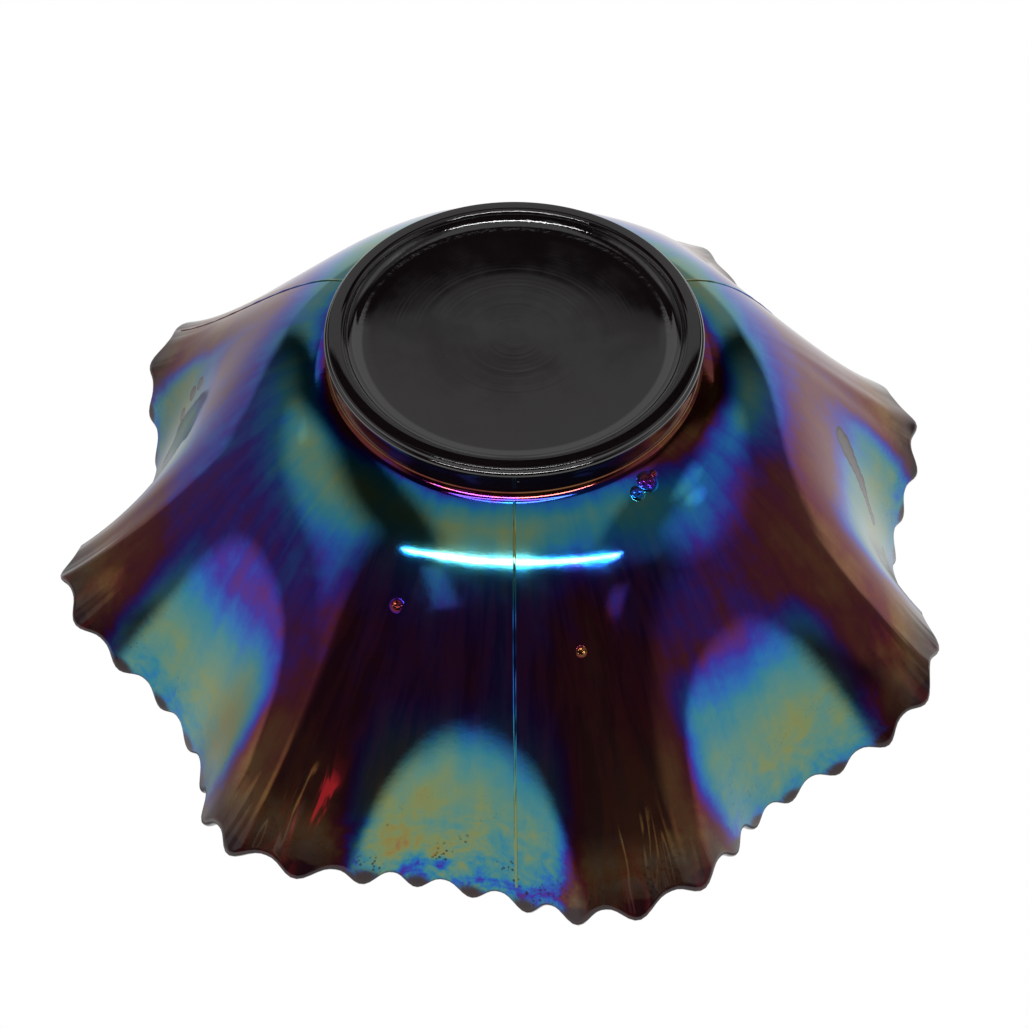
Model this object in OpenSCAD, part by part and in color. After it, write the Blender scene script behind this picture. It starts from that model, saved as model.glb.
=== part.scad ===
// Ruffled pressed-glass bowl on a collar foot.
// It stands on the foot, its opening faces +Z, and the origin is the centre of the foot's underside.
// One pressing of glass, drawn as the zones that the press, the mould and the crimping tool gave it.

/* [Foot] */
// Outside diameter of the foot ring at its widest
foot_d = 84.6; // [82:0.2:90]
// Inside diameter of the foot ring
foot_bore_d = 75.4; // [70:0.2:76]
// Height of the foot ring, from the standing face to the shoulder of the bowl
foot_h = 8; // [6:0.5:10]
// How far the base is set up inside the foot ring
base_recess = 3; // [2:0.5:3.5]
// Thickness of the glass in the middle of the base
base_t = 5.4; // [5:0.2:7]

/* [Bowl] */
// Height from the standing face to the highest scallops
bowl_h = 78.4; // [72:0.2:86]
// Diameter of the rim halfway between the crests and the hollows of the ruffles
rim_mean_d = 217; // [200:1:232]
// Slope of the shoulder where it leaves the foot, in degrees
shoulder_slope = 10; // [6:1:14]
// Slope of the side where it reaches the rim, in degrees
rim_slope = 47; // [42:1:54]
// Thickness of the glass in the well
wall_t = 4.4; // [3.8:0.2:5]
// Thickness of the glass at the rim
rim_t = 3; // [2.4:0.2:3.6]

/* [Ruffles] */
// Number of ruffles round the rim
ruffles = 8; // [6:1:10]
// How much further out a crest stands than a hollow
crest_reach = 12.4; // [8:0.2:16]
// How far a crest hangs below the highest part of the rim
crest_drop = 17; // [10:0.5:20]
// How narrow the crests are beside the hollows
crest_sharpness = 1.1; // [1:0.1:1.6]
// Sideways lean of every crest, in degrees round the bowl
crest_lean = 2.5; // [0:0.5:3]
// Share by which the ruffles on one side are pulled deeper than the mean
unevenness = 0.14; // [0:0.02:0.2]

/* [Scallops] */
// Scallops on each ruffle
scallops = 7; // [5:1:9]
// Depth of the notch between two scallops
scallop_depth = 3.2; // [1:0.2:4]

/* [Mould seams] */
// Number of mould seams up the outside
seams = 3; // [2:1:4]
// Width of a seam
seam_w = 0.5; // [0.4:0.1:1]
// Height of a seam above the glass
seam_proud = 0.2; // [0.15:0.05:0.5]

/* [Hidden] */

$fn = 180;
first_crest = -62;
deep_side = -50;
front = -90;

foot_r = foot_d / 2;
foot_bore_r = foot_bore_d / 2;
standing_w = 1.8;
// the inside corner stays below the base, so that the cove can run down to it
foot_corner_r = min((foot_r - foot_bore_r - standing_w) / 2, 0.6 * base_recess);
lip_r = foot_corner_r / 2;
bead_r = min(0.9, 0.65 * foot_corner_r);
waist = 0.5;
waist_rise = 2;
fillet_r = 1.2;
base_hollow = 1.2;
cove_r = 3.2;
shoulder_step = 0.4;
shoulder_r = foot_r + shoulder_step;

// the side runs along s, from 0 at the foot to 1 at the tips of the scallops
well_end = 0.2;
band_start = 0.93;
shoulder_pull = 23;
rim_pull = 30;
profile_start = [shoulder_r, foot_h];
profile_end = [rim_mean_d / 2, bowl_h - crest_drop / 2];
start_handle = profile_start + shoulder_pull * [cos(shoulder_slope), sin(shoulder_slope)];
end_handle = profile_end - rim_pull * [cos(rim_slope), sin(rim_slope)];
s_per_mm = 1 / (3 * rim_pull);

steps_per_scallop = 5;
round_steps = ruffles * scallops * steps_per_scallop;
side_rows = 7;
band_rows = 3;
edge_steps = 4;
base_steps = 12;
tick = 0.001;
turn_tick = 0.1;

// how far the scallops are carried sideways by the stretching, in degrees
first_sway = 0.56;
second_sway = 0.71;
scallop_roundness = 1.3;
seam_start = 0.01;

glass = "#1c1016";
film = "#3b2a66";
seam_shine = "#8fb6c4";

// radius and height of the outside of the bowl before it was ruffled
function profile(s) =
    pow(1 - s, 3) * profile_start
    + 3 * pow(1 - s, 2) * s * start_handle
    + 3 * (1 - s) * s * s * end_handle
    + pow(s, 3) * profile_end;

// 1 on the crest of a ruffle and 0 in the hollow
function crest(a) = pow((1 + cos(ruffles * (a - first_crest))) / 2, crest_sharpness);

function pulled(a) = 1 + unevenness * cos(a - deep_side);

function growth(s) = pow(max(0, s - well_end) / (1 - well_end), 2);

// the scallops stand further apart on the crests, where the glass was stretched
function stretch(s, a) =
    let (wave = ruffles * (a - first_crest))
    growth(s) * (first_sway * sin(wave) + second_sway * sin(2 * wave));

// a point on the outside of the finished bowl
function skin(s, a) =
    let (
        p = profile(s),
        r = p.x + growth(s) * crest_reach * (crest(a - crest_lean) * pulled(a) - 0.5),
        z = p.y - growth(s) * crest_drop * (crest(a) * pulled(a) - 0.5),
        turn = a + stretch(s, a)
    )
    [r * cos(turn), r * sin(turn), z];

function unit(v) = v / norm(v);

// direction up the side, and the direction into the bowl
function up_side(s, a) = unit(skin(s + tick, a) - skin(s - tick, a));
function inward(s, a) = unit(cross(skin(s, a - turn_tick) - skin(s, a + turn_tick), up_side(s, a)));

function thickness(s) = wall_t + (rim_t - wall_t) * s;
function inside(s, a) = skin(s, a) + thickness(s) * inward(s, a);

// 1 on the tip of a scallop and 0 in the notch between two
function scallop(a) = pow((1 - cos(ruffles * scallops * (a - first_crest))) / 2, scallop_roundness);
function edge_centre(a) =
    1 - s_per_mm * (rim_t / 2 + scallop_depth * (1 - scallop(a)));

function arc(centre, r, from, to, n) =
    [for (i = [0 : n]) let (t = from + (to - from) * i / n) centre + r * [cos(t), sin(t)]];

// inside of the well in section, and the floor that it runs down to
function well_inside(s) =
    let (rise = profile(s + tick) - profile(s), along = rise / norm(rise))
    profile(s) + thickness(s) * [-along.y, along.x];
floor_edge = well_inside(0);
floor_middle = base_recess + base_t + base_hollow;
function floor_z(r) = floor_middle + (floor_edge.y - floor_middle) * pow(r / floor_edge.x, 3);

// a closed band round the bowl, skinned over sections that all have the same number of points
module band(sections) {
    n = len(sections);
    m = len(sections[0]);
    faces = [
        for (i = [0 : n - 1], j = [0 : m - 1])
            let (
                i2 = (i + 1) % n,
                j2 = (j + 1) % m
            )
            each [
                [i * m + j, i * m + j2, i2 * m + j2],
                [i * m + j, i2 * m + j2, i2 * m + j]
            ]
    ];
    polyhedron(points = [for (section = sections, p = section) p], faces = faces);
}

// ring that the bowl stands on: flat face, rounded shoulder, shallow waist and a fillet into the bowl
module foot_ring() {
    wall_r = foot_r - waist;
    section = concat(
        arc([foot_bore_r + foot_corner_r, foot_corner_r], foot_corner_r, 180, 270, 8),
        arc([foot_r - foot_corner_r, lip_r], lip_r, 270, 325, 5),
        arc([foot_r - bead_r, lip_r + bead_r], bead_r, 285, 360, 8),
        [[wall_r, foot_corner_r + waist_rise]],
        arc([wall_r + fillet_r, foot_h - fillet_r], fillet_r, 180, 135, 6),
        [profile_start, [foot_bore_r, foot_h]]
    );
    color(glass)
        rotate_extrude()
            polygon(section);
}

// floor of the bowl inside the ring, slightly hollow underneath
module base_disc() {
    cove_end = asin((foot_corner_r - base_recess + cove_r) / cove_r);
    flat_r = foot_bore_r - cove_r * cos(cove_end);
    top = [for (i = [base_steps : -1 : 0]) let (r = foot_bore_r * i / base_steps) [r, floor_z(r)]];
    under = [
        for (i = [0 : base_steps - 1])
            let (share = i / base_steps)
            [flat_r * share, base_recess + base_hollow * (1 - pow(share, 3))]
    ];
    cove = arc([flat_r, base_recess - cove_r], cove_r, 90, cove_end, 8);
    color(glass)
        rotate_extrude()
            polygon(concat(under, cove, top));
}

// round shoulder and well between the foot and the ruffles
module bowl_well() {
    n = 12;
    outer = [for (i = [0 : n]) profile(well_end * i / n)];
    inner = [for (i = [n : -1 : 0]) well_inside(well_end * i / n)];
    floor = [
        for (i = [1 : 4])
            let (r = floor_edge.x + (foot_bore_r - floor_edge.x) * i / 4)
            [r, floor_z(r)]
    ];
    color(film)
        rotate_extrude()
            polygon(concat([[foot_bore_r, foot_h]], outer, inner, floor));
}

// the side, from the well to the scalloped band, pulled into ruffles
module ruffled_side() {
    function row(i) = well_end + (band_start - well_end) * i / side_rows;
    color(film)
        band([
            for (k = [0 : round_steps - 1])
                let (a = first_crest + 360 * k / round_steps)
                concat(
                    [for (i = [0 : side_rows]) skin(row(i), a)],
                    [for (i = [side_rows : -1 : 0]) inside(row(i), a)]
                )
        ]);
}

// the last few millimetres of the side, with a round edge cut into scallops
module scalloped_rim() {
    color(film)
        band([
            for (k = [0 : round_steps - 1])
                let (
                    a = first_crest + 360 * k / round_steps,
                    last = edge_centre(a),
                    half = thickness(last) / 2,
                    into = inward(last, a),
                    up = up_side(last, a),
                    middle = skin(last, a) + half * into,
                    reach = last - band_start
                )
                concat(
                    [for (i = [0 : band_rows]) skin(band_start + reach * i / band_rows, a)],
                    [
                        for (i = [1 : edge_steps - 1])
                            let (t = 180 * i / edge_steps)
                            middle + half * (sin(t) * up - cos(t) * into)
                    ],
                    [for (i = [band_rows : -1 : 0]) inside(band_start + reach * i / band_rows, a)]
                )
        ]);
}

// one raised line where two parts of the mould met
module seam(a) {
    rows = 18;
    top_share = 0.5;
    points = [
        for (i = [0 : rows])
            let (
                s = seam_start + (band_start - seam_start) * i / rows,
                half_turn = seam_w / 2 / norm([skin(s, a).x, skin(s, a).y]) * 180 / PI,
                out = -1 * seam_proud * inward(s, a)
            )
            each [
                skin(s, a - half_turn),
                skin(s, a + half_turn),
                skin(s, a + half_turn * top_share) + out,
                skin(s, a - half_turn * top_share) + out
            ]
    ];
    sides = [
        for (i = [0 : rows - 1], j = [0 : 3])
            let (
                j2 = (j + 1) % 4
            )
            each [
                [4 * i + j, 4 * i + j2, 4 * i + 4 + j2],
                [4 * i + j, 4 * i + 4 + j2, 4 * i + 4 + j]
            ]
    ];
    top = 4 * rows;
    ends = [[0, 2, 1], [0, 3, 2], [top, top + 1, top + 2], [top, top + 2, top + 3]];
    polyhedron(points = points, faces = concat(sides, ends));
}

module mould_seams() {
    color(seam_shine)
        for (i = [0 : seams - 1])
            seam(front + 360 * i / seams);
}

foot_ring();
base_disc();
bowl_well();
ruffled_side();
scalloped_rim();
mould_seams();
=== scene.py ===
import math

import bpy
import numpy as np
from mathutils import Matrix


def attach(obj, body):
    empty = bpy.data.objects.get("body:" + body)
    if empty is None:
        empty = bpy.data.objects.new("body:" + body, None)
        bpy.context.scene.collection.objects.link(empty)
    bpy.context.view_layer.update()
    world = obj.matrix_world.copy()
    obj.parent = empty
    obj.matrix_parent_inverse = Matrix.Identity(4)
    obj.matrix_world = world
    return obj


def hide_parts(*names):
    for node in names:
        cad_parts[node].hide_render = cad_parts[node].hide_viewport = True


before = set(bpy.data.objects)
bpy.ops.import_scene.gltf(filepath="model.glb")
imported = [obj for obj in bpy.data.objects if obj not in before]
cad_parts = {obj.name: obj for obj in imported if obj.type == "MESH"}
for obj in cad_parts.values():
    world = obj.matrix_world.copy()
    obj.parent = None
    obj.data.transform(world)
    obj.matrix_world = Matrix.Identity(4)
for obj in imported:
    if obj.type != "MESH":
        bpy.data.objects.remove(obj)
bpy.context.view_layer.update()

bl_info = {
    "name": "Ruffled carnival glass bowl",
    "version": (1, 0, 0),
    "blender": (4, 5, 0),
    "location": "3D view > Sidebar > Glass bowl",
    "description": "Presses, crimps and iridises a ruffled glass bowl on a collar foot",
    "category": "Add Mesh",
}

MM = 0.001
TAU = math.tau

# vertices nearer than this are one
MERGE = 0.001 * MM

BLACK_GLASS = "Black_amethyst_glass_fire_polished"
FILMED_GLASS = "Iridised_amethyst_glass_salt_sprayed"


# ---------------------------------------------------------------- settings

def length(name, description, default):
    return bpy.props.FloatProperty(
        name=name, description=description, default=default, unit="LENGTH", precision=5
    )


def angle(name, description, default):
    return bpy.props.FloatProperty(
        name=name, description=description, default=math.radians(default), subtype="ANGLE"
    )


def share(name, description, default):
    return bpy.props.FloatProperty(name=name, description=description, default=default)


class FootSettings(bpy.types.PropertyGroup):
    radius: length("Radius", "Outside radius of the foot ring", 42.3 * MM)
    bore: length("Bore", "Inside radius of the foot ring", 37.7 * MM)
    height: length("Height", "From the standing face to the shoulder", 8 * MM)
    standing: length("Standing face", "Width of the flat face that the bowl stands on", 1.8 * MM)
    bead: length("Bead", "Radius of the bead round the outside corner", 0.9 * MM)
    waist: length("Waist", "How far the wall stands in from the outside corner", 0.5 * MM)
    fillet: length("Fillet", "Radius where the wall runs out into the shoulder", 1.2 * MM)
    recess: length("Recess", "How far the base is set up inside the ring", 3 * MM)
    base: length("Base", "Thickness of the glass in the middle of the base", 5.4 * MM)
    hollow: length("Hollow", "How far the middle of the base is hollowed underneath", 1.2 * MM)
    cove: length("Cove", "Radius of the hollow corner between the base and the ring", 3.2 * MM)


class BowlSettings(bpy.types.PropertyGroup):
    height: length("Height", "From the standing face to the highest scallops", 78.4 * MM)
    rim: length("Rim", "Radius of the rim halfway between crests and hollows", 108.5 * MM)
    shoulder: length("Shoulder", "Radius where the bowl leaves the foot", 42.7 * MM)
    start_slope: angle("Shoulder slope", "Slope of the side where it leaves the foot", 10)
    end_slope: angle("Rim slope", "Slope of the side at the rim", 47)
    start_pull: length("Shoulder pull", "How far the shoulder keeps its slope", 23 * MM)
    end_pull: length("Rim pull", "How far the rim keeps its slope", 30 * MM)
    wall: length("Well wall", "Thickness of the glass in the well", 4.4 * MM)
    rim_wall: length("Rim wall", "Thickness of the glass at the rim", 3 * MM)
    ruffles: bpy.props.IntProperty(name="Ruffles", description="Ruffles round the rim", default=8)
    reach: length("Crest reach", "How much further out a crest stands than a hollow", 12.4 * MM)
    drop: length("Crest drop", "How far a crest hangs below the highest rim", 17 * MM)
    sharpness: share("Crest sharpness", "How narrow the crests are beside the hollows", 1.1)
    lean: angle("Crest lean", "Sideways lean of every crest", 2.5)
    fold: length("Fold", "Height of the fold pinched up along a crest", 0.55 * MM)
    uneven: share("Unevenness", "Share by which one side is pulled deeper", 0.14)
    deep_side: angle("Deep side", "Where the ruffles are pulled deepest", -50)
    first_crest: angle("First crest", "Where the first crest stands", -62)
    well_end: share("Well end", "Where up the side the ruffles begin", 0.2)
    scallops: bpy.props.IntProperty(name="Scallops", description="Scallops on each ruffle", default=7)
    notch: length("Notch", "Depth between two scallops", 3.2 * MM)
    band: share("Band", "Where up the side the scalloped band begins", 0.93)


class SeamSettings(bpy.types.PropertyGroup):
    count: bpy.props.IntProperty(name="Seams", description="Mould seams up the outside", default=3)
    width: length("Width", "Width of a seam", 0.5 * MM)
    proud: length("Height", "Height of a seam above the glass", 0.2 * MM)
    front: angle("Front seam", "Where the front seam stands", -90)


class StageSettings(bpy.types.PropertyGroup):
    eye: bpy.props.FloatVectorProperty(
        name="Camera", description="Where the camera stands", default=(0.00007, -0.2035, -0.2022),
        subtype="XYZ", unit="LENGTH",
    )
    tilt: angle("Tilt", "How far the camera is turned up towards the bowl", 216.71)
    lens: bpy.props.FloatProperty(name="Lens", description="Focal length in millimetres", default=44.79)
    floor: length("Floor", "Side of the pale floor", 40.0)


# ---------------------------------------------------------------- colours and nodes

def linear(code, alpha=1.0):
    """An sRGB hex colour as the linear numbers that Blender works in."""
    parts = [int(code[i:i + 2], 16) / 255 for i in (1, 3, 5)]
    return [c / 12.92 if c <= 0.04045 else ((c + 0.055) / 1.055) ** 2.4 for c in parts] + [alpha]


def plug(tree, socket, value):
    """Links a socket to another one, or gives it a value."""
    if isinstance(value, bpy.types.NodeSocket):
        tree.links.new(value, socket)
    else:
        socket.default_value = value


def add(tree, kind, inputs=None, **settings):
    """A node with its settings, and each input either linked to a socket or given a value."""
    made = tree.nodes.new(kind)
    for name, value in settings.items():
        setattr(made, name, value)
    for socket, value in (inputs or {}).items():
        plug(tree, made.inputs[socket], value)
    return made


def calc(tree, operation, *values):
    return add(tree, "ShaderNodeMath", dict(enumerate(values)), operation=operation).outputs[0]


def fade(tree, value, low, high, start=0.0, end=1.0):
    """A smooth change from start to end as value goes from low to high."""
    return add(
        tree, "ShaderNodeMapRange",
        {"Value": value, "From Min": low, "From Max": high, "To Min": start, "To Max": end},
        interpolation_type="SMOOTHSTEP",
    ).outputs[0]


def between(tree, value, low, high, soft):
    """1 from low to high and 0 outside, with soft edges."""
    rise = fade(tree, value, low - soft, low + soft)
    fall = fade(tree, value, high - soft, high + soft, 1.0, 0.0)
    return calc(tree, "MULTIPLY", rise, fall)


def sway(tree, onto, pattern, amount, where=None):
    """onto, pushed up and down round its value by a pattern from 0 to 1, and only where asked."""
    push = calc(tree, "SUBTRACT", pattern, 0.5)
    if where is not None:
        push = calc(tree, "MULTIPLY", push, where)
    return calc(tree, "MULTIPLY_ADD", push, amount, onto)


def ramp(tree, value, stops):
    made = add(tree, "ShaderNodeValToRGB", {"Fac": value})
    elements = made.color_ramp.elements
    for i, (position, code) in enumerate(stops):
        element = elements[i] if i < 2 else elements.new(position)
        element.position = position
        element.color = linear(code)
    return made.outputs["Color"]


def blend_colour(tree, factor, a, b):
    made = add(tree, "ShaderNodeMix", data_type="RGBA")
    for socket, value in ((made.inputs[0], factor), (made.inputs[6], a), (made.inputs[7], b)):
        plug(tree, socket, value)
    return made.outputs[2]


def noise(tree, place, size, detail=2.0, roughness=0.5, distortion=0.0):
    """Soft noise from 0 to 1, whose broadest features are about size metres across."""
    inputs = {"Vector": place, "Scale": 1 / size, "Detail": detail, "Roughness": roughness,
              "Distortion": distortion}
    return add(tree, "ShaderNodeTexNoise", inputs).outputs["Fac"]


def bump(tree, height, strength, distance, over=None):
    """The surface's direction, tilted by the slope of height on top of an earlier bump."""
    inputs = {"Height": height, "Strength": strength, "Distance": distance}
    if over is not None:
        inputs["Normal"] = over
    return add(tree, "ShaderNodeBump", inputs).outputs[0]


def attribute(tree, name):
    return add(tree, "ShaderNodeAttribute", attribute_name=name).outputs["Fac"]


def flat_place(tree, place):
    """The place with its height taken away, and its distance from the bowl's axis."""
    part = add(tree, "ShaderNodeSeparateXYZ", {"Vector": place}).outputs
    flat = add(tree, "ShaderNodeCombineXYZ", {"X": part["X"], "Y": part["Y"]}).outputs[0]
    out = add(tree, "ShaderNodeVectorMath", {0: flat}, operation="LENGTH").outputs["Value"]
    return flat, out


def new_material(name):
    material = bpy.data.materials.new(name)
    material.use_nodes = True
    tree = material.node_tree
    tree.nodes.clear()
    shader = add(tree, "ShaderNodeBsdfPrincipled")
    out = add(tree, "ShaderNodeOutputMaterial", {"Surface": shader.outputs[0]})
    out.location = (400, 0)
    return material, tree, shader


# ---------------------------------------------------------------- materials

# Interference colours of a fired-on metal-oxide film, by the light's path through it in nanometres.
FILM_COLOURS = [
    (0, "#303032"), (150, "#5c5c60"), (250, "#868078"), (330, "#8a7858"), (400, "#886636"),
    (450, "#7e502c"), (500, "#702e26"), (535, "#661a3a"), (565, "#56187a"), (600, "#3424a2"),
    (640, "#1850b4"), (680, "#1070b8"), (730, "#2c8698"), (790, "#588e80"), (850, "#7c8f5c"),
    (900, "#8c8646"), (950, "#907044"), (1000, "#8e5a58"), (1050, "#824a76"), (1120, "#5c508a"),
    (1200, "#40708a"),
]
LONGEST_PATH = 1200

# painted dark reflections of the ruffle beside them, as blotches on the film: degrees round, share up,
# radius
PAINTED_DARK_REFLECTIONS = [
    (-180.0, 0.575, 3.0 * MM), (-179.4, 0.60, 3.6 * MM), (-178.7, 0.625, 3.2 * MM),
    (-178.0, 0.65, 2.7 * MM), (-177.3, 0.675, 2.5 * MM), (-176.6, 0.70, 2.6 * MM),
    (-175.8, 0.72, 2.0 * MM), (-174.9, 0.738, 1.6 * MM), (-174.1, 0.757, 1.7 * MM),
    (-173.3, 0.78, 1.8 * MM), (-170.5, 0.86, 1.4 * MM),
    (15.0, 0.635, 2.0 * MM), (14.5, 0.68, 2.2 * MM), (12.5, 0.74, 2.0 * MM),
]

# small blisters in the glass that catch the light
BLISTERS = [
    (-126.5, 0.060, 2.6 * MM), (-122.5, 0.075, 1.8 * MM), (-68.2, 0.335, 1.7 * MM),
    (-101.3, 0.406, 1.3 * MM), (-129.5, 0.05, 1.0 * MM),
]

# places where the painted red glow is strongest, as if the wall were thinnest there: degrees round,
# share up, width and height, how thin
RED_GLOW_SPOTS = [(-65.5, 0.82, 2.2, 0.09, 0.6), (-112, 0.90, 2.2, 0.06, 0.1), (-22, 0.90, 2.5, 0.06, 0.1)]

# how metallic the skin looks under the film, and where the flame left the glass bare or the lobes are
# painted dark as shade
FILM_METALLIC = 0.98
BARE_METALLIC = 0.40


def iridised_glass(side):
    """Amethyst glass sprayed with metal salts at red heat: the film gives a mirror-like skin whose
    colour follows its thickness, from straw and gold on the stretched crests to blue and teal in
    the hollows."""
    material, tree, shader = new_material(FILMED_GLASS)
    place = add(tree, "ShaderNodeTexCoord").outputs["Object"]
    pulled = along_the_pull(tree, place)
    edge = attribute(tree, "bare_and_shaded_edge")
    crest = attribute(tree, "crest_pull")
    tip = fade(tree, crest, 0.45, 0.8)
    blistered = fade(tree, domes(tree, place, BLISTERS, side), 0.0, 0.5)

    # the edge and the tips were polished bare by the flame, so the red of the amethyst shows; the
    # scallops' lobes get the same dark colour as painted shade, for the dark they face where they tilt
    colour = film_colour(tree, place, pulled, blistered, side)
    colour = blend_colour(tree, edge, colour, linear("#160607"))
    metallic = calc(tree, "MULTIPLY_ADD", edge, BARE_METALLIC - FILM_METALLIC, FILM_METALLIC)

    # the flame left the tips of the crests glossier than the rest
    haze = fade(tree, noise(tree, place, 16.7 * MM, 3, 0.6), 0.3, 0.8, 0.05, 0.13)
    rough = calc(tree, "MULTIPLY", haze, calc(tree, "MULTIPLY_ADD", tip, -0.6, 1.0))

    plug(tree, shader.inputs["Base Color"], colour)
    plug(tree, shader.inputs["Metallic"], metallic)
    plug(tree, shader.inputs["Roughness"], rough)
    plug(tree, shader.inputs["Normal"], crimped_surface(tree, place, pulled, crest, tip, blistered))
    # painted red glow: emission stands in for light let through the thin glass
    plug(tree, shader.inputs["Emission Color"], painted_red_glow(tree, pulled))
    shader.inputs["Emission Strength"].default_value = 1.0
    shader.inputs["IOR"].default_value = 1.52
    shader.inputs["Coat Weight"].default_value = 0.35
    shader.inputs["Coat Roughness"].default_value = 0.03
    shader.inputs["Coat IOR"].default_value = 1.5


def film_colour(tree, place, pulled, blistered, side):
    """Colour of the film where the spray drifted or was holed by blisters, with painted dark
    reflections on it.
    """
    rim = attribute(tree, "rim_zone")
    clouds = noise(tree, place, 52.63 * MM, 3, 0.55, 0.8)
    fibres = noise(tree, pulled, 6.667 * MM, 4, 0.6, 0.3)
    mottle = noise(tree, place, 3.846 * MM, 4, 0.65, 0.5)
    patches = noise(tree, place, 13.333 * MM, 3, 0.6, 1.2)

    # the spray drifts in soft clouds, drawn out where the glass was pulled, and is broken into a
    # fine mottle near the rim, where it met the glass coolest
    path = sway(tree, attribute(tree, "film_path"), clouds, 0.30)
    path = sway(tree, path, fibres, 0.11)
    path = sway(tree, path, mottle, 0.06)
    path = sway(tree, path, patches, 0.75, rim)
    path = sway(tree, path, mottle, 0.32, rim)
    path = calc(tree, "MULTIPLY_ADD", blistered, -0.07, path)
    colour = ramp(tree, path, [(nm / LONGEST_PATH, code) for nm, code in FILM_COLOURS])

    # pinholes in the film, in loose groups near the rim
    cells = add(tree, "ShaderNodeTexVoronoi", {"Vector": place, "Scale": 1 / (1.111 * MM)})
    hole = fade(tree, cells.outputs["Distance"], 0.26, 0.36, 1.0, 0.0)
    group = fade(tree, noise(tree, place, 9.091 * MM, 2, 0.5), 0.55, 0.62)
    holed = calc(tree, "MULTIPLY", hole, calc(tree, "MULTIPLY", group, rim))
    colour = blend_colour(tree, holed, colour, linear("#0a0608"))

    # painted dark reflections of the ruffle beside them: grey blotches with a black line round them
    run = sway(tree, domes(tree, place, PAINTED_DARK_REFLECTIONS, side), mottle, 0.12)
    colour = blend_colour(tree, fade(tree, run, 0.0, 0.04), colour, linear("#0a0709"))
    return blend_colour(tree, fade(tree, run, 0.26, 0.40), colour, linear("#4a4248"))


def painted_red_glow(tree, pulled):
    """Painted glow: emission in streaks that stands in for the deep red light that the thin glass would
    pass from the white paper behind it.
    """
    streaks = fade(tree, noise(tree, pulled, 3.03 * MM, 3, 0.6, 0.5), 0.38, 0.64, 0.45, 1.25)
    level = calc(tree, "MULTIPLY", attribute(tree, "painted_glow_level"), streaks)
    return ramp(tree, level, [(0.0, "#000000"), (0.25, "#12060c"), (0.6, "#1c080a"),
                              (0.8, "#340b10"), (1.0, "#861820")])


def crimped_surface(tree, place, pulled, crest, tip, blistered):
    """Fire polishing leaves long soft waves and a faint grain. The crimping tool leaves folds that
    run out over the crests, with sharper creases at their tips, and the blisters are crackled."""
    waves = noise(tree, place, 23.81 * MM, 2, 0.4)
    folds = calc(tree, "MULTIPLY", noise(tree, pulled, 18.18 * MM, 2, 0.45, 0.4), crest)
    creases = calc(tree, "MULTIPLY", noise(tree, pulled, 8.333 * MM, 2, 0.5, 0.9), tip)
    grain = noise(tree, place, 2.381 * MM, 3, 0.6)
    crackle = calc(tree, "MULTIPLY", noise(tree, place, 1.4286 * MM, 2, 0.5), blistered)
    surface = bump(tree, waves, 0.22, 0.5 * MM)
    surface = bump(tree, folds, 0.75, 1.6 * MM, surface)
    surface = bump(tree, creases, 0.9, 1.6 * MM, surface)
    surface = bump(tree, grain, 0.1, 0.1 * MM, surface)
    return bump(tree, crackle, 0.9, 0.9 * MM, surface)


def domes(tree, place, spots, side):
    """1 in the middle of each round spot, falling evenly to 0 at its edge and below 0 outside."""
    total = None
    for bearing, up_to, radius in spots:
        middle = side.skin(np.array(up_to), np.array(math.radians(bearing)))
        gap = add(tree, "ShaderNodeVectorMath", {0: place, 1: tuple(middle)}, operation="DISTANCE")
        dome = calc(tree, "SUBTRACT", 1.0, calc(tree, "DIVIDE", gap.outputs["Value"], radius))
        dome = calc(tree, "MAXIMUM", dome, -0.2)
        total = dome if total is None else calc(tree, "MAXIMUM", total, dome)
    return total


def along_the_pull(tree, place):
    """Coordinates in metres on a ring of the bowl's middle size, in which the way from the foot to
    the rim is shortened, so that a pattern comes out drawn along the pull."""
    ring_radius = 80 * MM
    shortened = 0.16
    flat, out = flat_place(tree, place)
    round_the_bowl = add(tree, "ShaderNodeVectorMath", {0: flat}, operation="NORMALIZE").outputs[0]
    ring = add(tree, "ShaderNodeVectorMath", {0: round_the_bowl, "Scale": ring_radius},
               operation="SCALE").outputs[0]
    slow = add(tree, "ShaderNodeCombineXYZ", {"Z": calc(tree, "MULTIPLY", out, shortened)}).outputs[0]
    return add(tree, "ShaderNodeVectorMath", {0: ring, 1: slow}, operation="ADD").outputs[0]


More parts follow.
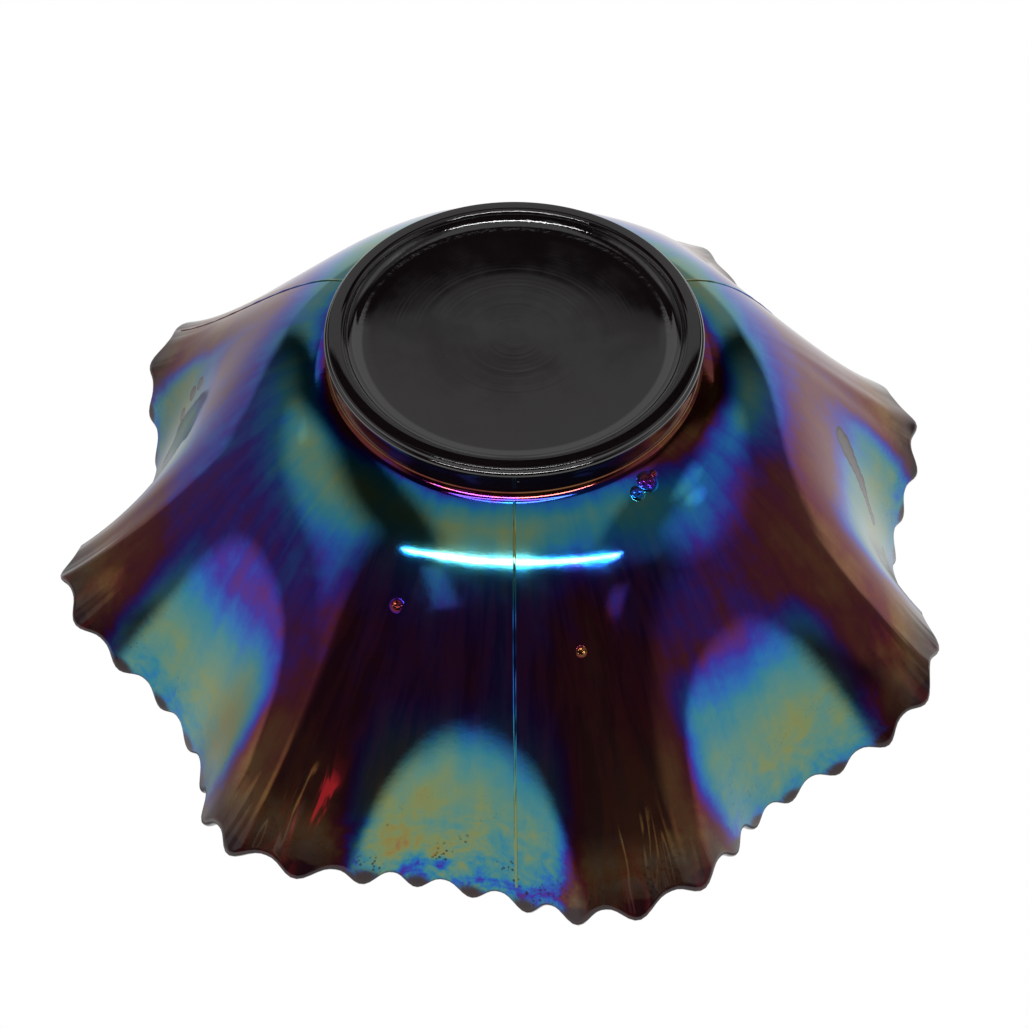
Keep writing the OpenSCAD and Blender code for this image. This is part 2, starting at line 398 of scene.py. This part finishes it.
def black_amethyst_glass():
    """Fire-polished amethyst glass, so deep that it looks black. The base kept the bloom of the
    press, while the ring and the corner beside it are bright."""
    material, tree, shader = new_material(BLACK_GLASS)
    place = add(tree, "ShaderNodeTexCoord").outputs["Object"]
    _, out = flat_place(tree, place)
    corner = between(tree, out, 34.0 * MM, 38.2 * MM, 0.4 * MM)
    bead = fade(tree, out, 41.3 * MM, 41.7 * MM)

    # a few pale specks of grit that were pressed into the glass
    colour = ramp(tree, noise(tree, place, 45.45 * MM, 3, 0.55), [(0.3, "#0c0809"), (0.7, "#150d10")])
    grit = add(tree, "ShaderNodeTexVoronoi", {"Vector": place, "Scale": 1 / (5.263 * MM)})
    chosen = add(tree, "ShaderNodeSeparateXYZ", {"Vector": grit.outputs["Color"]}).outputs["X"]
    speck = calc(tree, "MULTIPLY", fade(tree, grit.outputs["Distance"], 0.025, 0.05, 1.0, 0.0),
                 fade(tree, chosen, 0.80, 0.84))
    colour = blend_colour(tree, speck, colour, linear("#8e8c88"))

    haze = fade(tree, noise(tree, place, 11.11 * MM, 3, 0.6), 0.3, 0.8, 0.06, 0.15)
    bloom = fade(tree, out, 31.5 * MM, 34.0 * MM, 1.0, 0.25)

    plug(tree, shader.inputs["Base Color"], colour)
    plug(tree, shader.inputs["Roughness"], calc(tree, "MULTIPLY", haze, bloom))
    plug(tree, shader.inputs["Normal"], pressed_surface(tree, place, out, corner))
    plug(tree, shader.inputs["Coat Weight"], calc(tree, "MAXIMUM", corner, bead))
    shader.inputs["Coat Roughness"].default_value = 0.02
    shader.inputs["IOR"].default_value = 1.55


def pressed_surface(tree, place, out, corner):
    """Soft waves, faint rings from the turning of the plunger, and wrinkles where the glass chilled
    first, in the corner at the back of the base."""
    ring = add(tree, "ShaderNodeCombineXYZ", {"X": out}).outputs[0]
    back = add(tree, "ShaderNodeSeparateXYZ", {"Vector": place}).outputs["Y"]
    cold = calc(tree, "MULTIPLY", corner, fade(tree, back, 12 * MM, 26 * MM, 0.12, 1.0))
    wrinkles = calc(tree, "MULTIPLY", noise(tree, place, 1.613 * MM, 3, 0.6, 0.5), cold)
    surface = bump(tree, noise(tree, place, 18.18 * MM, 2, 0.4), 0.08, 0.3 * MM)
    surface = bump(tree, noise(tree, ring, 1.923 * MM, 3, 0.6), 0.12, 0.1 * MM, surface)
    return bump(tree, wrinkles, 0.35, 0.25 * MM, surface)


# ---------------------------------------------------------------- shape of the side

class Side:
    """The formulas of the bowl's side. s runs from 0 at the foot to 1 at the scallops' tips."""

    tick = 0.001
    turn_tick = math.radians(0.1)

    # how far the scallops are carried sideways by the stretching
    first_sway = math.radians(0.56)
    second_sway = math.radians(0.71)
    scallop_roundness = 1.3

    # width of a fold and of the groove beside it, and how far that lies from it, in degrees
    fold_width = 1.15
    groove_width = 1.5
    groove_off = 2.9
    groove_depth = 0.75

    def __init__(self, bowl, foot):
        self.b = bowl
        self.start = np.array([bowl.shoulder, foot.height])
        self.end = np.array([bowl.rim, bowl.height - bowl.drop / 2])
        self.start_handle = self.start + bowl.start_pull * np.array(
            [math.cos(bowl.start_slope), math.sin(bowl.start_slope)])
        self.end_handle = self.end - bowl.end_pull * np.array(
            [math.cos(bowl.end_slope), math.sin(bowl.end_slope)])
        self.s_per_m = 1 / (3 * bowl.end_pull)

    def profile(self, s):
        """Radius and height of the outside before it was crimped."""
        s = np.asarray(s, float)[..., None]
        return ((1 - s) ** 3 * self.start + 3 * (1 - s) ** 2 * s * self.start_handle
                + 3 * (1 - s) * s * s * self.end_handle + s ** 3 * self.end)

    def crest(self, a):
        """1 on the crest of a ruffle and 0 in the hollow."""
        return ((1 + np.cos(self.b.ruffles * (a - self.b.first_crest))) / 2) ** self.b.sharpness

    def pulled(self, a):
        return 1 + self.b.uneven * np.cos(a - self.b.deep_side)

    def growth(self, s):
        """How far the ruffles have grown, from 0 in the well to 1 at the rim."""
        return (np.maximum(0, s - self.b.well_end) / (1 - self.b.well_end)) ** 2

    def skin(self, s, a):
        """Points on the outside of the finished bowl."""
        b, p, g = self.b, self.profile(s), self.growth(s)
        r = p[..., 0] + g * b.reach * (self.crest(a - b.lean) * self.pulled(a) - 0.5)
        z = p[..., 1] - g * b.drop * (self.crest(a) * self.pulled(a) - 0.5)
        wave = b.ruffles * (a - b.first_crest)
        turn = a + g * (self.first_sway * np.sin(wave) + self.second_sway * np.sin(2 * wave))
        return np.stack([r * np.cos(turn), r * np.sin(turn), z], -1)

    def up_side(self, s, a):
        rise = self.skin(s + self.tick, a) - self.skin(s - self.tick, a)
        return rise / np.linalg.norm(rise, axis=-1, keepdims=True)

    def inward(self, s, a):
        along = self.skin(s, a + self.turn_tick) - self.skin(s, a - self.turn_tick)
        n = -np.cross(along, self.up_side(s, a))
        return n / np.linalg.norm(n, axis=-1, keepdims=True)

    def fold(self, a):
        """Height of the narrow fold and the groove beside it that the crimping tool pinched along
        each crest. No two crests have them quite alike."""
        b = self.b
        step = TAU / b.ruffles
        count = np.round((a - b.first_crest) / step)
        off = np.degrees(a - b.first_crest - b.lean - step * count) + 1.6 * np.sin(2.4 * count)
        ridge = np.exp(-(off / self.fold_width) ** 2)
        groove = self.groove_depth * np.exp(-((off - self.groove_off) / self.groove_width) ** 2)
        return b.fold * (ridge - groove) * (1 + 0.3 * np.sin(1.7 * count))

    def thickness(self, s):
        return self.b.wall + (self.b.rim_wall - self.b.wall) * s

    def scallop(self, a):
        """1 on the tip of a scallop and 0 in the notch between two."""
        wave = self.b.ruffles * self.b.scallops * (a - self.b.first_crest)
        return ((1 - np.cos(wave)) / 2) ** self.scallop_roundness

    def edge_centre(self, a):
        notch = self.b.notch * (1 - self.scallop(a))
        return 1 - self.s_per_m * (self.b.rim_wall / 2 + notch)

    def well_inside(self, s):
        rise = self.profile(s + self.tick) - self.profile(s)
        rise = rise / np.linalg.norm(rise)
        return self.profile(s) + self.thickness(s) * np.array([-rise[1], rise[0]])


def floor_line(side, foot):
    """Height of the floor inside the bowl at each radius, and the radius of its edge."""
    edge = side.well_inside(0.0)
    middle = foot.recess + foot.base + foot.hollow
    return lambda r: middle + (edge[1] - middle) * (r / edge[0]) ** 3, edge[0]


# ---------------------------------------------------------------- making pieces

def arc(centre, radius, start, end, steps):
    """Points on an arc, with its angles in degrees."""
    return [
        (centre[0] + radius * math.cos(math.radians(start + (end - start) * i / steps)),
         centre[1] + radius * math.sin(math.radians(start + (end - start) * i / steps)))
        for i in range(steps + 1)
    ]


def lathe(name, outline, steps, closed=True):
    """Draws the outline in the XZ plane point by point and spins it once round the Z axis."""
    bpy.ops.object.select_all(action="DESELECT")
    bpy.ops.mesh.primitive_plane_add(size=MM, location=(0, 0, 0))
    made = bpy.context.object
    made.name = name
    bpy.ops.object.mode_set(mode="EDIT")
    bpy.ops.mesh.select_all(action="SELECT")
    bpy.ops.mesh.merge(type="CENTER")
    bpy.ops.transform.translate(value=(outline[0][0], 0, outline[0][1]))
    points = list(outline[1:]) + ([outline[0]] if closed else [])
    last = outline[0]
    for point in points:
        step = (point[0] - last[0], 0, point[1] - last[1])
        bpy.ops.mesh.extrude_vertices_move(TRANSFORM_OT_translate={"value": step})
        last = point
    bpy.ops.mesh.select_all(action="SELECT")
    bpy.ops.mesh.remove_doubles(threshold=MERGE)
    bpy.ops.mesh.select_all(action="SELECT")
    bpy.ops.mesh.spin(steps=steps, angle=TAU, center=(0, 0, 0), axis=(0, 0, 1))
    bpy.ops.mesh.select_all(action="SELECT")
    bpy.ops.mesh.remove_doubles(threshold=MERGE)
    bpy.ops.mesh.select_all(action="SELECT")
    bpy.ops.mesh.normals_make_consistent(inside=False)
    bpy.ops.object.mode_set(mode="OBJECT")
    return made


def smooth(made, degrees):
    bpy.ops.object.select_all(action="DESELECT")
    made.select_set(True)
    bpy.context.view_layer.objects.active = made
    bpy.ops.object.shade_smooth_by_angle(angle=math.radians(degrees))


def write_field(made, name, values):
    field = made.data.attributes.new(name, "FLOAT", "POINT")
    field.data.foreach_set("value", np.asarray(values, np.float32))


def vertices(made):
    co = np.zeros(len(made.data.vertices) * 3, np.float32)
    made.data.vertices.foreach_get("co", co)
    return co.reshape(-1, 3).astype(float)


def ease(value, low, high):
    """A smooth rise from 0 at low to 1 at high."""
    t = np.clip((value - low) / (high - low), 0, 1)
    return t * t * (3 - 2 * t)


def film_path(s, crest, wobble):
    """Light's path through the film, in nanometres. The spray settled thick on the shoulder and in
    the hollows near the rim, and the film was stretched thin on the crests."""
    up = [0, 0.015, 0.03, 0.06, 0.10, 0.15, 0.20, 0.30, 0.40, 0.50, 0.56, 0.65, 0.76, 0.86, 0.94, 1.0]
    hollow = [500, 585, 650, 710, 785, 750, 690, 595, 550, 550, 620, 730, 815, 780, 690, 590]
    crests = [500, 585, 650, 710, 775, 730, 670, 580, 548, 530, 520, 500, 462, 422, 405, 425]
    s = np.clip(s + wobble, 0, 1)
    mix = ease(crest, 0.42, 0.92)
    return np.interp(s, up, hollow) * (1 - mix) + np.interp(s, up, crests) * mix


def turns_off(a, bearing, width):
    """How far round the angle a stands from a bearing, in widths. Both are in degrees."""
    return np.angle(np.exp(1j * (a - math.radians(bearing)))) / math.radians(width)


def drawn_rows(co, outline):
    """For each vertex of a lathed piece, the number of the outline's point that it came from."""
    drawn = np.array(outline)
    radial = np.hypot(co[:, 0], co[:, 1])
    row = np.zeros(len(co), int)
    at_a_time = 4096
    for start in range(0, len(co), at_a_time):
        part = slice(start, start + at_a_time)
        gap = (radial[part, None] - drawn[:, 0]) ** 2 + (co[part, 2, None] - drawn[:, 1]) ** 2
        row[part] = gap.argmin(1)
    return row


def finish_piece(made, material, nodes, smooth_angle):
    smooth(made, smooth_angle)
    made.data.materials.clear()
    made.data.materials.append(bpy.data.materials[material])
    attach(made, "root")
    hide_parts(*nodes)


def inside_corner(foot):
    """Radius of the foot ring's inside corner."""
    return (foot.radius - foot.bore - foot.standing) / 2


class GLASS_OT_foot_ring(bpy.types.Operator):
    """Turn the collar foot that the bowl stands on"""
    bl_idname = "glass.foot_ring"
    bl_label = "Foot ring"

    steps = 336
    waist_rise = 2 * MM

    # light's path through the film, where it begins on the fillet and at the shoulder
    first_path = 360
    shoulder_path = 510

    def execute(self, context):
        f = context.scene.glass_foot
        corner = inside_corner(f)
        lip = corner / 2
        wall = f.radius - f.waist
        outline = (
            arc((f.bore + corner, corner), corner, 180, 270, 12)
            + arc((f.radius - corner, lip), lip, 270, 325, 8)
            + arc((f.radius - f.bead, lip + f.bead), f.bead, 285, 360, 12)
            + [(wall, corner + self.waist_rise)]
            + arc((wall + f.fillet, f.height - f.fillet), f.fillet, 180, 135, 6)
            + [(context.scene.glass_bowl.shoulder, f.height), (f.bore, f.height)]
        )
        ring = lathe("foot_ring", outline, self.steps)
        low = f.height - 1.6 * f.fillet
        share_up = np.clip((vertices(ring)[:, 2] - low) / (f.height - low), 0, 1)
        path = self.first_path + (self.shoulder_path - self.first_path) * share_up
        write_field(ring, "film_path", path / LONGEST_PATH)
        finish_piece(ring, BLACK_GLASS, ["foot_ring"], 40)

        # the film ends in the fillet
        ring.data.materials.append(bpy.data.materials[FILMED_GLASS])
        for face in ring.data.polygons:
            if face.center.z > low and math.hypot(face.center.x, face.center.y) > f.bore + 1 * MM:
                face.material_index = 1
        return {"FINISHED"}


class GLASS_OT_base_disc(bpy.types.Operator):
    """Turn the base inside the foot ring, slightly hollow underneath"""
    bl_idname = "glass.base_disc"
    bl_label = "Base"

    steps = 336
    rows = 24
    cove_rows = 16

    def execute(self, context):
        f = context.scene.glass_foot
        floor, _ = floor_line(Side(context.scene.glass_bowl, f), f)
        corner = inside_corner(f)
        end = math.asin((corner - f.recess + f.cove) / f.cove)
        flat = f.bore - f.cove * math.cos(end)
        shares = [i / self.rows for i in range(self.rows + 1)]
        under = [(flat * t, f.recess + f.hollow * (1 - t ** 3)) for t in shares]
        cove = arc((flat, f.recess - f.cove), f.cove, 90, math.degrees(end), self.cove_rows)[1:]
        top = [(f.bore * t, floor(f.bore * t)) for t in reversed(shares)]
        disc = lathe("base_disc", under + cove + top, self.steps, closed=False)
        finish_piece(disc, BLACK_GLASS, ["base_disc"], 40)
        return {"FINISHED"}


class GLASS_OT_bowl_body(bpy.types.Operator):
    """Press the round blank of the bowl, then crimp its rim into ruffles and scallops"""
    bl_idname = "glass.bowl_body"
    bl_label = "Bowl"

    side_rows = 36
    band_rows = 7
    edge_steps = 10
    floor_rows = 8
    steps_per_scallop = 12

    def rows(self, band):
        """Each row up the outside, over the edge and down the inside, as where it stands on the
        side, how far it follows the scallops, and how far it has turned over the edge."""
        outer = [(band * i / self.side_rows, 0.0, 0.0) for i in range(self.side_rows + 1)]
        outer += [(band, i / self.band_rows, 0.0) for i in range(1, self.band_rows + 1)]
        edge = [(band, 1.0, math.pi * i / self.edge_steps) for i in range(1, self.edge_steps)]
        inner = [(s, f, math.pi) for s, f, _ in reversed(outer)]
        return np.array(outer + edge + inner)

    def blank(self, side, foot, rows):
        """Outline of the round blank: the rows of the side, then the floor down to the foot."""
        last = 1 - side.s_per_m * side.b.rim_wall / 2
        s = rows[:, 0] + rows[:, 1] * (last - rows[:, 0])
        rise = side.profile(s + side.tick) - side.profile(s)
        rise /= np.linalg.norm(rise, axis=-1, keepdims=True)
        into = np.stack([-rise[:, 1], rise[:, 0]], -1)
        half = (side.thickness(s) / 2)[:, None]
        turned = rows[:, 2][:, None]
        wall = side.profile(s) + half * (1 - np.cos(turned)) * into + half * np.sin(turned) * rise
        floor, edge_r = floor_line(side, foot)
        step = (foot.bore - edge_r) / self.floor_rows
        radii = [edge_r + step * i for i in range(1, self.floor_rows + 1)]
        return [tuple(p) for p in wall] + [(r, floor(r)) for r in radii] + [(foot.bore, foot.height)]

    def crimp(self, side, s, a, turned):
        """Points of the finished wall, with the ruffles pulled and the folds pinched outside."""
        into, up = side.inward(s, a), side.up_side(s, a)
        half = (side.thickness(s) / 2)[:, None]
        t = turned[:, None]
        fold = side.growth(s) * side.fold(a) * 0.5 * (1 + np.cos(turned))
        return (side.skin(s, a) + half * (1 - np.cos(t)) * into + half * np.sin(t) * up
                - fold[:, None] * into)

    def lay_film(self, body, side, s, a, over, on_wall):
        """Where the film lies, how thick it is, where the glass is bare or its lobes are painted dark
        as shade, and how strong the painted red glow of thin glass is. s is 0 on the
            floor, and over is 1 on the outermost line of the edge."""
        bowl = side.b
        low = 1 - ease(s, 0.1, 0.3)
        wobble = 0.012 * np.sin(3 * a + 0.7) + 0.008 * np.sin(7 * a + 2.1)
        wobble -= 0.05 * np.exp(-turns_off(a, -163, 28) ** 2) * low
        crest = side.crest(a - bowl.lean / 2)
        path = film_path(s, crest, wobble)

        # the spray was thinner on the shoulder on one side
        on_shoulder = (1 - ease(s, 0.12, 0.28)) * ease(s, 0.02, 0.06)
        path -= 70 * np.exp(-turns_off(a, -142, 30) ** 2) * on_shoulder

        # the flame bared the tips of the crests and the edge; the scallops' lobes are painted dark in
        # the same mask, as shade where they tilt away
        past = np.clip((s - bowl.band) / (1 - bowl.band), 0, 1)
        lobe = ease(past * np.sqrt(side.scallop(a)), 0.26, 0.48)
        tip = ease(s, 0.80, 0.95) * ease(crest, 0.45, 0.8)
        bare = np.clip(lobe + 0.85 * tip + over, 0, 1) * on_wall

        # painted red glow, as if light came through the wall where it thins towards the rim, strongest
        # in a few spots
        grow = np.clip((s - bowl.well_end) / (1 - bowl.well_end), 0, 1)
        thin = ease(s, 0.12, 0.3) * (0.30 + 0.12 * grow + 0.12 * crest * grow) + 0.08 * bare
        for bearing, up_to, width, rise, level in RED_GLOW_SPOTS:
            gap = np.hypot(turns_off(a, bearing, width), (s - up_to) / rise)
            thin = thin + level * np.exp(-gap ** 2)

        front_hollow = np.exp(-turns_off(a, -84.5, 17) ** 2)
        write_field(body, "film_path", path / LONGEST_PATH)
        write_field(body, "bare_and_shaded_edge", bare)
        write_field(body, "painted_glow_level", thin)
        write_field(body, "crest_pull", crest ** 1.5 * grow ** 1.5)
        write_field(body, "rim_zone", ease(s, 0.70, 0.97) * (0.3 + 0.7 * front_hollow))

    def execute(self, context):
        bowl, foot = context.scene.glass_bowl, context.scene.glass_foot
        side = Side(bowl, foot)
        rows = self.rows(bowl.band)
        outline = self.blank(side, foot, rows)
        body = lathe("bowl_body", outline, bowl.ruffles * bowl.scallops * self.steps_per_scallop)

        co = vertices(body)
        a = np.arctan2(co[:, 1], co[:, 0])
        row = drawn_rows(co, outline)
        on_wall = row < len(rows)
        start, follow, turned = rows[np.minimum(row, len(rows) - 1)].T
        s = start + follow * (side.edge_centre(a) - start)
        co[on_wall] = self.crimp(side, s, a, turned)[on_wall]
        body.data.vertices.foreach_set("co", co.astype(np.float32).ravel())
        body.data.update()

        over = np.sin(turned) * (follow > 0.99)
        self.lay_film(body, side, np.where(on_wall, s, 0), a, over, on_wall)
        finish_piece(body, FILMED_GLASS, ["bowl_well", "ruffled_side", "scalloped_rim"],
                     60)
        return {"FINISHED"}


class GLASS_OT_mould_seams(bpy.types.Operator):
    """Lay the raised lines where the parts of the mould met"""
    bl_idname = "glass.mould_seams"
    bl_label = "Mould seams"

    rows = 90
    across = 5
    start = 0.01
    sunk = 0.02 * MM
    depth = 0.1 * MM
    more_film = 60

    def strip(self, side, seam, number):
        """One open strip over the seam's crown, a little uneven in height."""
        bpy.ops.mesh.primitive_grid_add(
            x_subdivisions=self.across - 1, y_subdivisions=self.rows, size=2, location=(0, 0, 0))
        made = bpy.context.object
        co = vertices(made)
        u, v = co[:, 0], (co[:, 1] + 1) / 2
        s = self.start + (side.b.band - self.start) * v
        a = np.full(len(u), seam.front + TAU * number / seam.count)
        r = np.linalg.norm(side.skin(s, a)[:, :2], axis=-1)
        broken = 0.7 + 0.3 * np.sin(v * 61 + number) * np.sin(v * 23 + 2 * number)
        a = a + u * seam.width / 2 / r
        height = seam.proud * np.cos(u * math.pi / 2) * broken - self.sunk
        height = height + side.growth(s) * side.fold(a)
        co = side.skin(s, a) - height[:, None] * side.inward(s, a)
        made.data.vertices.foreach_set("co", co.astype(np.float32).ravel())
        made.data.update()
        path = film_path(s, side.crest(a), 0) + self.more_film
        write_field(made, "film_path", path / LONGEST_PATH)
        for name in ("bare_and_shaded_edge", "painted_glow_level", "crest_pull", "rim_zone"):
            write_field(made, name, 0 * s)
        return made

    def execute(self, context):
        seam = context.scene.glass_seam
        side = Side(context.scene.glass_bowl, context.scene.glass_foot)
        strips = [self.strip(side, seam, number) for number in range(seam.count)]
        bpy.ops.object.select_all(action="DESELECT")
        for made in strips:
            made.select_set(True)
        bpy.context.view_layer.objects.active = strips[0]
        bpy.ops.object.join()
        seams = bpy.context.object
        seams.name = "mould_seams"
        bpy.ops.object.mode_set(mode="EDIT")
        bpy.ops.mesh.select_all(action="SELECT")
        bpy.ops.mesh.extrude_region_shrink_fatten(TRANSFORM_OT_shrink_fatten={"value": self.depth})
        bpy.ops.mesh.select_all(action="SELECT")
        bpy.ops.mesh.normals_make_consistent(inside=False)
        bpy.ops.object.mode_set(mode="OBJECT")
        finish_piece(seams, FILMED_GLASS, ["mould_seams"], 60)
        return {"FINISHED"}


class GLASS_OT_materials(bpy.types.Operator):
    """Mix the two finishes of the glass"""
    bl_idname = "glass.materials"
    bl_label = "Finishes"

    def execute(self, context):
        iridised_glass(Side(context.scene.glass_bowl, context.scene.glass_foot))
        black_amethyst_glass()
        return {"FINISHED"}


# ---------------------------------------------------------------- stage

class Tent:
    """A shooting tent round the bowl, as the light that comes from each direction. The bowl stands
    on its foot, so the tent's ceiling is below it and its table above. Lamps on the ceiling are
    placed on a flat plane one unit over the table: across to the right and along to the back."""

    def __init__(self, tree):
        self.tree = tree
        place = add(tree, "ShaderNodeTexCoord").outputs["Generated"]
        way = add(tree, "ShaderNodeSeparateXYZ", {"Vector": place}).outputs
        right = calc(tree, "MULTIPLY", way["X"], -1.0)
        back = way["Y"]
        up = calc(tree, "MULTIPLY", way["Z"], -1.0)
        nearly_level = 0.02
        safe_up = calc(tree, "MAXIMUM", up, nearly_level)
        self.above = calc(tree, "GREATER_THAN", up, nearly_level)
        self.across = calc(tree, "DIVIDE", right, safe_up)
        self.along = calc(tree, "DIVIDE", back, safe_up)
        self.height = calc(tree, "MULTIPLY", calc(tree, "ARCSINE", up), 180 / math.pi)
        self.bearing = calc(tree, "MULTIPLY", calc(tree, "ARCTAN2", right, back), 180 / math.pi)

    def times(self, *values):
        total = values[0]
        for value in values[1:]:
            total = calc(self.tree, "MULTIPLY", total, value)
        return total

    def panel(self, level, x, y, soft):
        mask = self.times(between(self.tree, self.across, *x, soft),
                          between(self.tree, self.along, *y, soft))
        return self.times(mask, self.above, level)

    def wall(self, level, bearings, heights, soft):
        """A stretch of wall, the same on both sides of the back."""
        off_back = calc(self.tree, "ABSOLUTE", self.bearing)
        mask = self.times(between(self.tree, off_back, *bearings, soft),
                          between(self.tree, self.height, *heights, soft))
        return self.times(mask, level)

    def tube(self, level, half_width, soft):
        """A tube light across the tent, which sags a little, hangs a little nearer to the camera on
        the right and looks narrower towards its ends."""
        tree, across = self.tree, self.across
        squared = self.times(across, across)
        sagged = calc(tree, "MULTIPLY_ADD", across, 0.03, self.along)
        sagged = calc(tree, "MULTIPLY_ADD", squared, -0.13, sagged)
        off = calc(tree, "ABSOLUTE", calc(tree, "ADD", sagged, 0.572))
        off = self.times(off, calc(tree, "MULTIPLY_ADD", squared, 2.2, 1.0))
        reach = between(tree, across, -0.66, 0.63, 0.03)
        mask = self.times(reach, fade(tree, off, half_width - soft, half_width + soft, 1.0, 0.0))
        return self.times(mask, self.above, level)

    def table(self):
        """The white table: bright far out, dimmer nearer in, most of all on one side where the bowl
        shades it, and brighter again straight under the bowl."""
        tree = self.tree
        table = fade(tree, self.height, 0, 8, 0.82, 0.0)
        far = fade(tree, self.height, -52, -36, 0.28, 1.0)
        shade = calc(tree, "MULTIPLY_ADD", between(tree, self.bearing, -80, -28, 14), -0.45, 1.0)
        overhead = fade(tree, self.height, -75, -60, 0.7, 0.0)
        return self.times(table, calc(tree, "ADD", self.times(far, shade), overhead))

    def light(self):
        """Everything in the tent, over the faint light that comes from all round."""
        lit = [
            self.tube(46, 0.030, 0.008),                               # tube
            self.tube(3.0, 0.060, 0.030),                              # its milky cover
            self.panel(0.50, (-0.36, 0.46), (-0.50, 0.42), 0.09),      # ceiling
            self.panel(0.62, (-0.85, 0.85), (0.955, 1.5), 0.014),      # top of the back wall
            self.panel(0.45, (-0.57, -0.43), (-1.25, -0.66), 0.05),    # stand beside the camera
            self.panel(0.35, (0.66, 0.84), (-0.95, -0.78), 0.06),      # second stand
            self.panel(0.17, (0.40, 1.20), (-0.62, 0.60), 0.10),       # haze beside the ceiling
            self.panel(1.2, (1.0, 1.35), (-0.12, 0.10), 0.12),         # lamps behind the right
            self.panel(0.8, (0.82, 1.15), (-0.05, 0.30), 0.12),        # diffuser
            self.panel(0.8, (-1.6, -1.15), (0.48, 0.78), 0.14),        # lamp behind the left one
            self.wall(0.55, (56, 114), (22, 47), 8),                   # side diffusers
            self.wall(0.20, (48, 125), (-2, 28), 9),                   # foot of the diffusers
            self.wall(0.40, (-1, 38), (-4, 33), 3),                    # back wall
            self.table(),
        ]
        total = 0.014
        for part in lit:
            total = calc(self.tree, "MAXIMUM", total, part)
        return total


def studio_world():
    """The tent lights the bowl, and the camera sees plain white behind it."""
    world = bpy.data.worlds.new("Shooting_tent")
    bpy.context.scene.world = world
    world.use_nodes = True
    tree = world.node_tree
    tree.nodes.clear()
    white = linear("#ffffff")
    seen = add(tree, "ShaderNodeLightPath").outputs["Is Camera Ray"]
    tent = add(tree, "ShaderNodeBackground", {"Color": white, "Strength": Tent(tree).light()})
    plain = add(tree, "ShaderNodeBackground", {"Color": white, "Strength": 1.0})
    both = add(tree, "ShaderNodeMixShader", {0: seen, 1: tent.outputs[0], 2: plain.outputs[0]})
    add(tree, "ShaderNodeOutputWorld", {"Surface": both.outputs[0]})


def pale_paper():
    """Matt white paper that is seen from its upper face only and runs up into the tent's white."""
    material = bpy.data.materials.new("Pale_matt_paper")
    material.use_nodes = True
    tree = material.node_tree
    tree.nodes.clear()
    paper = add(tree, "ShaderNodeBsdfDiffuse", {"Color": linear("#e6e5e3")})
    glow = add(tree, "ShaderNodeEmission", {"Color": linear("#ffffff"), "Strength": 0.3})
    lit = add(tree, "ShaderNodeAddShader", {0: paper.outputs[0], 1: glow.outputs[0]})
    white = add(tree, "ShaderNodeEmission", {"Color": linear("#ffffff"), "Strength": 1.0})
    place = add(tree, "ShaderNodeTexCoord").outputs["Object"]
    out = add(tree, "ShaderNodeVectorMath", {0: place}, operation="LENGTH").outputs["Value"]
    curved = add(tree, "ShaderNodeMixShader",
                 {0: fade(tree, out, 0.4, 4.0), 1: lit.outputs[0], 2: white.outputs[0]})
    clear = add(tree, "ShaderNodeBsdfTransparent")
    under = add(tree, "ShaderNodeNewGeometry").outputs["Backfacing"]
    both = add(tree, "ShaderNodeMixShader", {0: under, 1: curved.outputs[0], 2: clear.outputs[0]})
    add(tree, "ShaderNodeOutputMaterial", {"Surface": both.outputs[0]})
    return material


class GLASS_OT_stage(bpy.types.Operator):
    """Set the floor, the studio round the bowl and the camera"""
    bl_idname = "glass.stage"
    bl_label = "Stage"

    def execute(self, context):
        stage = context.scene.glass_stage
        bpy.ops.object.select_all(action="DESELECT")
        bpy.ops.mesh.primitive_plane_add(size=stage.floor, location=(0, 0, 0))
        floor = bpy.context.object
        floor.name = "floor"
        floor.data.materials.append(pale_paper())
        floor.visible_diffuse = False
        floor.visible_glossy = False
        floor.visible_transmission = False
        floor.visible_shadow = False
        studio_world()
        bpy.ops.object.camera_add(location=stage.eye, rotation=(stage.tilt, 0, math.pi))
        camera = bpy.context.object
        camera.name = "camera"
        camera.data.sensor_width = 36
        camera.data.lens = stage.lens
        camera.data.clip_start = 0.01
        context.scene.camera = camera
        context.scene.view_settings.view_transform = "Standard"
        return {"FINISHED"}


class GLASS_PT_bowl(bpy.types.Panel):
    bl_idname = "GLASS_PT_bowl"
    bl_label = "Glass bowl"
    bl_space_type = "VIEW_3D"
    bl_region_type = "UI"
    bl_category = "Glass bowl"

    def draw(self, context):
        for group in (context.scene.glass_foot, context.scene.glass_bowl,
                      context.scene.glass_seam, context.scene.glass_stage):
            box = self.layout.box()
            for name in group.__annotations__:
                box.prop(group, name)
        for operator in OPERATORS:
            self.layout.operator(operator.bl_idname)


OPERATORS = (GLASS_OT_materials, GLASS_OT_foot_ring, GLASS_OT_base_disc, GLASS_OT_bowl_body,
             GLASS_OT_mould_seams, GLASS_OT_stage)
GROUPS = {"glass_foot": FootSettings, "glass_bowl": BowlSettings, "glass_seam": SeamSettings,
          "glass_stage": StageSettings}


def register():
    for group in (*GROUPS.values(), *OPERATORS, GLASS_PT_bowl):
        bpy.utils.register_class(group)
    for name, group in GROUPS.items():
        setattr(bpy.types.Scene, name, bpy.props.PointerProperty(type=group))


def unregister():
    for name in GROUPS:
        delattr(bpy.types.Scene, name)
    for group in (GLASS_PT_bowl, *reversed(OPERATORS), *GROUPS.values()):
        bpy.utils.unregister_class(group)


def main():
    register()
    for operator in OPERATORS:
        category, name = operator.bl_idname.split(".")
        getattr(getattr(bpy.ops, category), name)()


if __name__ == "__main__":
    main()
